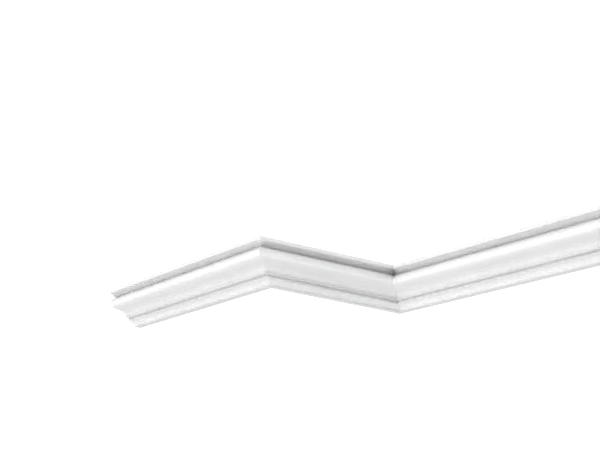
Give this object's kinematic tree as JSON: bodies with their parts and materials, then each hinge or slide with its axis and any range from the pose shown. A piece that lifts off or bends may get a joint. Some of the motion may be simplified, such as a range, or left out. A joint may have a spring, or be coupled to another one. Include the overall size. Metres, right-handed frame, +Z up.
{
  "type": "mitred crown moulding run",
  "caption": "White moulded crown moulding for a wall and ceiling angle: long straight lengths joined by a short mitred return, with cove, ogee, step and cavetto.",
  "frame": {"origin": "on the ceiling seat, the flat top that meets the ceiling, in the middle of the return length and of the seat's depth", "axes": "+Z up, out of the ceiling seat; +X along the two long lengths, from the left length to the right one; the long lengths face -Y and the return faces +X"},
  "size_m": [1.9975, 0.6496, 0.12],
  "materials": {
    "primed_moulding": "satin white factory primer on moulded high-density polyurethane"
  },
  "bodies": {
    "root": {"left_length": "primed_moulding", "return_length": "primed_moulding", "right_length": "primed_moulding"}
  },
  "joints": []
}
